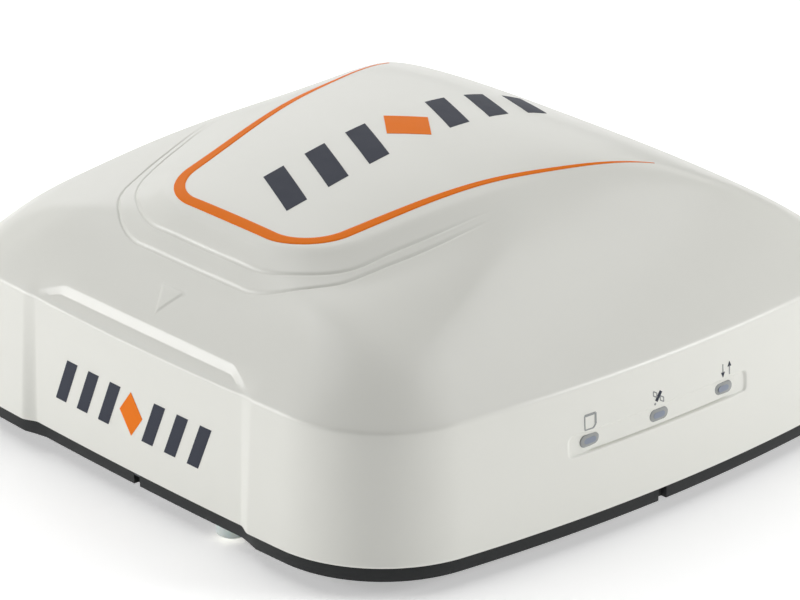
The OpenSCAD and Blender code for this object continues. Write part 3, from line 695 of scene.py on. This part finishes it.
def material(name, rgb, rough, metal=0.0, vary=0.04, spread=0.06, grain=900.0, bump=0.00002, **sockets):
    """A shader whose colour, roughness and fine relief vary with noise; grain is in waves a metre."""
    made = bpy.data.materials.new(name)
    made.use_nodes = True
    nodes, links = made.node_tree.nodes, made.node_tree.links
    shader = nodes["Principled BSDF"]
    shader.inputs["Metallic"].default_value = metal
    for key, value in sockets.items():
        shader.inputs[key.replace("_", " ")].default_value = value
    where = nodes.new("ShaderNodeTexCoord")

    def noise(scale, detail):
        node = nodes.new("ShaderNodeTexNoise")
        node.inputs["Scale"].default_value = scale
        node.inputs["Detail"].default_value = detail
        links.new(where.outputs["Object"], node.inputs["Vector"])
        return node

    base = linear(rgb)
    tint = nodes.new("ShaderNodeMix")
    tint.data_type = "RGBA"
    tint.inputs["A"].default_value = [c * (1 - vary) for c in base] + [1]
    tint.inputs["B"].default_value = [min(c * (1 + vary), 1) for c in base] + [1]
    links.new(noise(grain / COLOUR_COARSER, 3).outputs["Fac"], tint.inputs["Factor"])
    links.new(tint.outputs["Result"], shader.inputs["Base Color"])
    gloss = nodes.new("ShaderNodeMapRange")
    gloss.inputs["To Min"].default_value = max(rough - spread, 0.02)
    gloss.inputs["To Max"].default_value = min(rough + spread, 1)
    links.new(noise(grain / GLOSS_COARSER, 4).outputs["Fac"], gloss.inputs["Value"])
    links.new(gloss.outputs["Result"], shader.inputs["Roughness"])
    relief = nodes.new("ShaderNodeBump")
    relief.inputs["Strength"].default_value = RELIEF_STRENGTH
    relief.inputs["Distance"].default_value = bump
    links.new(noise(grain * RELIEF_FINER, 2).outputs["Fac"], relief.inputs["Height"])
    links.new(relief.outputs["Normal"], shader.inputs["Normal"])
    return made


WHITE = material("white_moulding", (228, 228, 221), 0.42, vary=0.008, grain=1800, bump=0.00001,
                 Coat_Weight=0.2, Coat_Roughness=0.16)
ORANGE = material("orange_print", (236, 119, 2), 0.55, vary=0.03, grain=1200, Specular_IOR_Level=0.15)
SLATE = material("slate_print", (51, 55, 67), 0.55, vary=0.05, grain=1200, Specular_IOR_Level=0.2)
LENS = material("lamp_lens", (128, 136, 152), 0.2, vary=0.04, grain=900, Coat_Weight=0.3)

SLOT_LOOKS = {
    "white_plastic": WHITE,
    "black_cast": material("black_casting", (30, 32, 33), 0.5, vary=0.12, grain=2200, bump=0.00004,
                           Specular_IOR_Level=0.3),
    "black_plastic": material("black_moulding", (40, 41, 43), 0.5, vary=0.1, grain=2600, bump=0.00004),
    "seal_rubber": material("seal_silicone", (74, 78, 84), 0.6, vary=0.08, grain=1500),
    "black_rubber": material("black_rubber", (36, 36, 37), 0.68, vary=0.12, grain=1900, bump=0.00005),
    "pale_plug": material("pale_plug", (232, 232, 222), 0.35, grain=900, Subsurface_Weight=0.3),
    "brass": material("brass", (205, 168, 92), 0.28, 1.0, vary=0.1, grain=1400),
    "steel": material("steel", (196, 198, 202), 0.27, 1.0, vary=0.08, grain=1700),
    "gold": material("gold_contact", (224, 184, 96), 0.2, 1.0, vary=0.08, grain=1500),
    "pcb": material("solder_mask", (22, 84, 52), 0.38, vary=0.16, grain=1200, Coat_Weight=0.3),
    "shield": material("tin_can", (198, 200, 203), 0.33, 1.0, vary=0.08, grain=1100),
    "component": material("moulded_part", (46, 46, 48), 0.5, vary=0.12, grain=1600),
    "ceramic": material("fired_ceramic", (222, 213, 190), 0.55, vary=0.06, grain=1300),
    "silver": material("fired_silver", (206, 207, 208), 0.4, 1.0, vary=0.08, grain=1500),
    "plate": material("ground_plate", (198, 200, 203), 0.36, 1.0, vary=0.06, grain=900),
    "copper": material("coax_jacket", (196, 122, 78), 0.3, 1.0, vary=0.1, grain=1400),
    "lamp": material("diode", (244, 240, 214), 0.3, vary=0.05, grain=1500),
    "light_pipe": material("light_pipe", (146, 149, 148), 0.22, vary=0.05, grain=900, Coat_Weight=0.4),
}


SLOT_OF = {row["node"]: row["material_slot"] for row in frame["record"]["subparts"]}


def dress_cad():
    """Every carried-over CAD node gets its slot's material."""
    for name, piece in frame["nodes"].items():
        piece.data.materials.clear()
        piece.data.materials.append(SLOT_LOOKS[SLOT_OF[name]])


# ---------------------------------------------------------------- thin conforming pieces
def roof_surface(u, v, lift):
    """Point over the roof at plan place (u, v)."""
    return np.stack([u, v, on_roof(u, v) + lift], 1)


def front_surface(u, v, lift):
    """Point on the recessed front wall at X = u and height v."""
    arc = CEN_Y[1] + np.sqrt(RAD_Y**2 - u**2) - wall_inset(v)
    return np.stack([u, -arc + recess_depth(v) * recess(u) - lift, v], 1)


def side_surface(u, v, lift):
    """Point on the lamp wall at Y = u and height v."""
    out = CEN_X[0] + np.sqrt(RAD_X**2 - u**2) - wall_inset(v)
    return np.stack([out + lift, u, v], 1)


def ink_patch(grid, surface, lift, sink):
    """Points and faces of a closed thin patch; grid is rows x columns x 2 of surface places."""
    rows, cols = grid.shape[:2]
    flat = grid.reshape(-1, 2)
    points = np.concatenate([surface(flat[:, 0], flat[:, 1], lift), surface(flat[:, 0], flat[:, 1], -sink)])
    under = rows * cols
    faces = []
    for r in range(rows - 1):
        for c in range(cols - 1):
            a, b, d, e = r * cols + c, r * cols + c + 1, (r + 1) * cols + c + 1, (r + 1) * cols + c
            faces.append((a, b, d, e))
            faces.append((under + e, under + d, under + b, under + a))
    rim = list(range(cols))
    rim += [r * cols + cols - 1 for r in range(1, rows)]
    rim += [(rows - 1) * cols + c for c in range(cols - 2, -1, -1)]
    rim += [r * cols for r in range(rows - 2, 0, -1)]
    for a, b in zip(rim, rim[1:] + rim[:1]):
        faces.append((b, a, under + a, under + b))
    return points, faces


def quad_grid(corners, rows, cols):
    """Even grid of places over a four-cornered shape."""
    a, b, c, d = (np.array(p, float) for p in corners)
    r = np.linspace(0, 1, rows)[:, None, None]
    t = np.linspace(0, 1, cols)[None, :, None]
    return (a * (1 - t) + b * t) * (1 - r) + (d * (1 - t) + c * t) * r


PILL_ROWS = 5
PILL_COLUMNS = 17
PILL_TIP = 0.02


def pill_grid(centre, length, height):
    """Grid of places over a pill shape that lies along the first coordinate."""
    r = height / 2
    t = -np.cos(np.linspace(0, math.pi, PILL_COLUMNS))[None, :] * length / 2
    past = np.maximum(np.abs(t) - (length / 2 - r), 0)
    tall = np.sqrt(np.maximum(r * r - past**2, PILL_TIP**2))
    v = np.linspace(-1, 1, PILL_ROWS)[:, None] * tall
    return np.stack([centre[0] + t + 0 * v, centre[1] + v], 2)


INK_LIFT = 0.07
INK_SINK = 0.08
INK_SHARP = 50


def ink(name, grids, surface, look, lift=INK_LIFT, sink=INK_SINK):
    """One piece of print: a closed thin patch over the surface for each grid of places."""
    points, faces, start = [], [], 0
    for grid in grids:
        p, f = ink_patch(grid, surface, lift, sink)
        points.append(p)
        faces += [tuple(i + start for i in face) for face in f]
        start += len(p)
    piece = mesh_object(name, np.concatenate(points), faces, look)
    shade(piece, INK_SHARP)
    return piece


# Bars of the generic graphic, in mm at the front's scale; the diamond takes the middle bar's place
BAR_PITCH = 7.6
BAR_W = 3.7
BAR_H = 10.2
BAR_LEAN = 4.4
BAR_ROW = (0, 1, 2, 4, 5, 6)
BAR_GRID = (15, 6)
DIAMOND_AT = 3
DIAMOND_HALF = 3.9
DIAMOND_GRID = (12, 12)


def bars(place, scale):
    """Leaning bars in a row; place(s, t) turns a place along and across the row into surface places."""
    w, h, lean = BAR_W * scale, BAR_H * scale, BAR_LEAN * scale
    grids = []
    for i in BAR_ROW:
        s = i * BAR_PITCH * scale
        corners = [place(s, 0), place(s + w, 0), place(s + w + lean, h), place(s + lean, h)]
        grids.append(quad_grid(corners, *BAR_GRID))
    return grids


def diamond(place, scale):
    s = (DIAMOND_AT * BAR_PITCH + (BAR_W + BAR_LEAN) / 2) * scale
    h, half = BAR_H * scale, DIAMOND_HALF * scale
    corners = [place(s, 0), place(s + half, h / 2), place(s, h), place(s - half, h / 2)]
    return [quad_grid(corners, *DIAMOND_GRID)]


# Where each row of bars starts: X and height on the front, X and Y on the roof
FRONT_MARK = (-27.9, 16.2)
ROOF_MARK = (-7.5, 41)
ROOF_MARK_SCALE = 1.56


def front_place(s, t):
    return (FRONT_MARK[0] + s, FRONT_MARK[1] + t)


def roof_place(s, t):
    return (ROOF_MARK[0] + t, ROOF_MARK[1] - s)


def make_marks():
    """Generic graphics in place of the printed name: a row of leaning bars with one orange diamond."""
    ink("front_graphic", bars(front_place, 1), front_surface, SLATE)
    ink("front_graphic_diamond", diamond(front_place, 1), front_surface, ORANGE)
    ink("roof_graphic", bars(roof_place, ROOF_MARK_SCALE), roof_surface, SLATE)
    ink("roof_graphic_diamond", diamond(roof_place, ROOF_MARK_SCALE), roof_surface, ORANGE)


STROKE_GRID = (4, 2)


def stroke(a, b, width):
    """Grid of places over a straight stroke from a to b."""
    a, b = np.array(a, float), np.array(b, float)
    way = (b - a) / np.linalg.norm(b - a)
    off = np.array([-way[1], way[0]]) * width / 2
    return quad_grid([a - off, a + off, b + off, b - off], *STROKE_GRID)


def stroke_from(middle, a, b, width):
    """A stroke whose ends are given from the symbol's middle."""
    y, z = middle
    return stroke((y + a[0], z + a[1]), (y + b[0], z + b[1]), width)


def outline(middle, corners, widths):
    """A stroke along each edge of a closed shape, whose corners are given from its middle."""
    y, z = middle
    places = [(y + c[0], z + c[1]) for c in corners]
    return [stroke(a, b, width) for a, b, width in zip(places, places[1:] + places[:1], widths)]


# Symbols over the lamps: their height, and where each stands along the wall
SYMBOL_Z = 28.9
CARD_Y = -20.1
SATELLITE_Y = -0.4
ARROW_UP_Y = 21.7
ARROW_DOWN_Y = 19.6
# A card with one cut corner, and one solar panel of the satellite
CARD = ((-1.5, -1.6), (0.8, -1.6), (1.5, -0.9), (1.5, 1.6), (-1.5, 1.6))
CARD_STROKES = (0.3, 0.4, 0.55, 0.55, 0.3)
PANEL = ((-0.5, -0.2), (0.5, -0.8), (0.5, 0.2), (-0.5, 0.8))
PANEL_STROKES = (0.26, 0.26, 0.26, 0.26)
PANEL_AT = (1.0, -0.75)
# Both ends and the width of the stroke that is the satellite's body, and of the one that is its dish
SATELLITE_BODY = ((-0.7, -0.85), (0.75, 1.1), 0.85)
SATELLITE_DISH = ((-1.25, -1.55), (-0.85, -1.3), 0.5)
# Shaft and head of an arrow, along the way that it points
SHAFT_FROM = -1.45
SHAFT_TO = 0.6
SHAFT_W = 0.3
HEAD_FROM = 0.4
HEAD_TO = 1.6
HEAD_HALF = 0.6
HEAD_TIP = 0.02
HEAD_GRID = (3, 3)
SYMBOL_LIFT = 0.05


def make_symbols():
    """Plain symbols over the three lamps: a card, a satellite and a pair of arrows."""
    z = SYMBOL_Z
    fine = outline((CARD_Y, z), CARD, CARD_STROKES)
    solid = [stroke_from((SATELLITE_Y, z), *SATELLITE_BODY)]
    for way in (-1, 1):
        fine += outline((SATELLITE_Y + way * PANEL_AT[0], z + way * PANEL_AT[1]), PANEL, PANEL_STROKES)
    fine.append(stroke_from((SATELLITE_Y, z), *SATELLITE_DISH))
    for y, way in ((ARROW_DOWN_Y, -1), (ARROW_UP_Y, 1)):
        fine.append(stroke((y, z + way * SHAFT_FROM), (y, z + way * SHAFT_TO), SHAFT_W))
        base, tip = z + way * HEAD_FROM, z + way * HEAD_TO
        corners = [(y - HEAD_HALF, base), (y + HEAD_HALF, base), (y + HEAD_TIP, tip), (y - HEAD_TIP, tip)]
        solid.append(quad_grid(corners, *HEAD_GRID))
    ink("lamp_symbols", solid, side_surface, SLATE, SYMBOL_LIFT)
    ink("lamp_symbol_lines", fine, side_surface, SLOT_LOOKS["light_pipe"], SYMBOL_LIFT)


# Lamps: height and spacing, and the inlay's length and height, lift and sink in the light pipe's face
LAMP_Z = 24.6
LAMP_PITCH = 20
LENS_SIZE = (3.3, 1.3)
LENS_LIFT = (-0.21, 0.36)


def make_lenses():
    """The bluish middle of each lamp, a thin inlay in the face of its light pipe."""
    grids = [pill_grid((k * LAMP_PITCH, LAMP_Z), *LENS_SIZE) for k in (-1, 0, 1)]
    lenses = ink("lamp_lenses", grids, side_surface, LENS, *LENS_LIFT)


# Width at the front, and where the line starts to narrow and where it ends
LINE_W = 2.75
NARROW_FROM = -44
LINE_REAR = 34
NARROWING = 0.8
LINE_LIFT = 0.1
LINE_SINK = 0.15
LINE_TIP = 0.5
LINE_SHARP = 60
# Rows of points across the line, as shares of its width; the outermost two lie on the roof
ACROSS = (-0.5, -0.46, -0.25, 0, 0.25, 0.46, 0.5)
# The width depends on where a row lies, so each row is found a few times over
WIDTH_PASSES = 3


def line_width(y):
    way = np.clip((y - NARROW_FROM) / (LINE_REAR - NARROW_FROM), 0, 1)
    return LINE_W * (1 - way) ** NARROWING


def make_orange_line():
    """The orange band round the hood, a thin inlay that tapers to nothing at the rear."""
    middle = crossing(orange_gap)
    rows = []
    for part in ACROSS:
        g = middle
        for _ in range(WIDTH_PASSES):
            width = line_width(ROOF_RIM[:, 1] * g)
            g = crossing(lambda x, y: orange_gap(x, y) - part * width)
        rows.append(roof_ring(g))
    keep = np.flatnonzero(rows[len(rows) // 2][:, 1] < LINE_REAR - LINE_TIP)
    split = np.flatnonzero(np.diff(keep) > 1)
    keep = np.roll(keep, -(split[0] + 1)) if len(split) else keep
    lifts = [0] + [LINE_LIFT] * (len(rows) - 2) + [0]
    rows = [row[keep] + [0, 0, lift] for row, lift in zip(rows, lifts)]
    rows = [rows[0] - [0, 0, LINE_SINK]] + rows + [rows[-1] - [0, 0, LINE_SINK]]
    count = len(keep)
    points = np.concatenate(rows)
    faces = []
    for i in range(len(rows)):
        faces += band_faces(i * count, ((i + 1) % len(rows)) * count, count, closed=False)
    faces.append(tuple(i * count for i in range(len(rows))))
    faces.append(tuple(i * count + count - 1 for i in range(len(rows)))[::-1])
    line = mesh_object("orange_line", points, faces, ORANGE)
    shade(line, LINE_SHARP)


# ---------------------------------------------------------------- finer copies of CAD pieces
# Points closer than the weld (metres) are joined, and faces flatter than the flat angle, before the bevel
WELD = 0.000002
FLAT_ANGLE = math.radians(0.3)
BEVEL_ANGLE = math.radians(35)
SHARP_DEGREES = 38


def softened(node, width, body="housing", segments=2):
    """A copy of a CAD node with its edges rounded, which stands for that node."""
    mesh = frame["nodes"][node].data.copy()
    piece = add_object(node + "_finished", mesh)
    data = bmesh.new()
    data.from_mesh(mesh)
    bmesh.ops.remove_doubles(data, verts=data.verts, dist=WELD)
    bmesh.ops.dissolve_limit(data, angle_limit=FLAT_ANGLE, verts=data.verts, edges=data.edges)
    data.to_mesh(mesh)
    data.free()
    bevel = piece.modifiers.new("bevel", "BEVEL")
    bevel.width = width * MM
    bevel.segments = segments
    bevel.limit_method = "ANGLE"
    bevel.angle_limit = BEVEL_ANGLE
    apply_modifiers(piece)
    slot_name = SLOT_OF[node]
    piece.data.materials.clear()
    piece.data.materials.append(SLOT_LOOKS[slot_name])
    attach(piece, body)
    shade(piece, SHARP_DEGREES)
    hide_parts(node)
    return piece


# Pry notch in the stepped-back front of the base's rim: middle, width and depth
NOTCH_X = -1.2
NOTCH_W = 2.0
NOTCH_DEPTH = 1.3
RIM_INSET = 1.5
# How far the cutter reaches out of the rim's face, and how far below the cover it stops
PAST_FACE = 2
RIM_TOP_GAP = 0.2


def cut_front_notch(base):
    """The notch is cut here, as the CAD's cutter stops short of this stretch of the rim."""
    base_low, _ = node_box("base_plate")
    face = RECESS_LOW + RIM_INSET - HALF
    low = (NOTCH_X - NOTCH_W / 2, face - PAST_FACE, base_low[2] - PAST_FOOT)
    cut_box(base, low, (NOTCH_X + NOTCH_W / 2, face + NOTCH_DEPTH, WALL_LOW - RIM_TOP_GAP))
    shade(base, SHARP_DEGREES)


# ---------------------------------------------------------------- stage
FLOOR_HALF = 6.0
FLOOR_COLOUR = (0.93, 0.93, 0.93, 1)
FLOOR_GLOW = 0.37
SKY = 0.03
LIGHT_TARGET = Vector((0, 0, 0.03))
LIGHT_DISTANCE = 1.6
# Name: azimuth from the front and elevation in degrees, size of the panel in metres, power in watts
LIGHTS = {
    "front_left": (-22, 18, (0.6, 0.5), 3.0),
    "left": (-45, 15, (0.6, 0.5), 9.7),
    "high_left": (-60, 60, (1.0, 0.8), 5.5),
    "rear_left": (-100, 40, (1.4, 1.0), 3.2),
    "low_rear_left": (-122, 10, (1.2, 0.4), 1.6),
    "rear_right": (132, 18, (0.6, 0.5), 12.1),
    "high_right": (150, 60, (1.0, 0.8), 6.8),
    "top": (200, 75, (1.6, 1.6), 0.4),
    "rear": (228, 30, (1.6, 0.8), 4.4),
}


def make_stage():
    mesh = bpy.data.meshes.new("floor")
    corners = [(-1, -1), (1, -1), (1, 1), (-1, 1)]
    mesh.from_pydata([(x * FLOOR_HALF, y * FLOOR_HALF, 0) for x, y in corners], [], [(0, 1, 2, 3)])
    floor = add_object("floor", mesh)
    pale = bpy.data.materials.new("pale_floor")
    pale.use_nodes = True
    shader = pale.node_tree.nodes["Principled BSDF"]
    shader.inputs["Base Color"].default_value = FLOOR_COLOUR
    shader.inputs["Roughness"].default_value = 0.9
    shader.inputs["Specular IOR Level"].default_value = 0.1
    shader.inputs["Emission Color"].default_value = (1, 1, 1, 1)
    shader.inputs["Emission Strength"].default_value = FLOOR_GLOW
    mesh.materials.append(pale)


def soft_light(name, azimuth, elevation, size, power):
    data = bpy.data.lights.new(name, "AREA")
    data.shape = "RECTANGLE"
    data.size, data.size_y = size
    data.energy = power
    light = add_object(name, data)
    aim(light, LIGHT_TARGET, math.radians(azimuth), math.radians(elevation), LIGHT_DISTANCE)
    light.visible_camera = False


def make_lights():
    world = bpy.data.worlds.new("world")
    world.use_nodes = True
    background = world.node_tree.nodes["Background"]
    background.inputs["Color"].default_value = (1, 1, 1, 1)
    background.inputs["Strength"].default_value = SKY
    bpy.context.scene.world = world
    for name, (azimuth, elevation, size, power) in LIGHTS.items():
        soft_light(name, azimuth, elevation, size, power)
    bpy.context.scene.view_settings.view_transform = "Standard"


# ---------------------------------------------------------------- build
dress_cad()
make_cover(WHITE)
make_orange_line()
make_marks()
make_symbols()
make_lenses()
cut_front_notch(softened("base_plate", 0.2))
softened("rear_panel", 0.25)
softened("rubber_feet", 0.4)
softened("vent_plug", 1.0, segments=4)
softened("power_socket", 0.25)
softened("data_socket", 0.25)
softened("socket_cores", 0.1)
softened("power_cap", 0.45, "power_lid", 3)
softened("data_cap", 0.45, "data_lid", 3)
softened("sim_door", 0.4, "service_door", 3)
softened("light_pipes", 0.25)
make_stage()
make_lights()
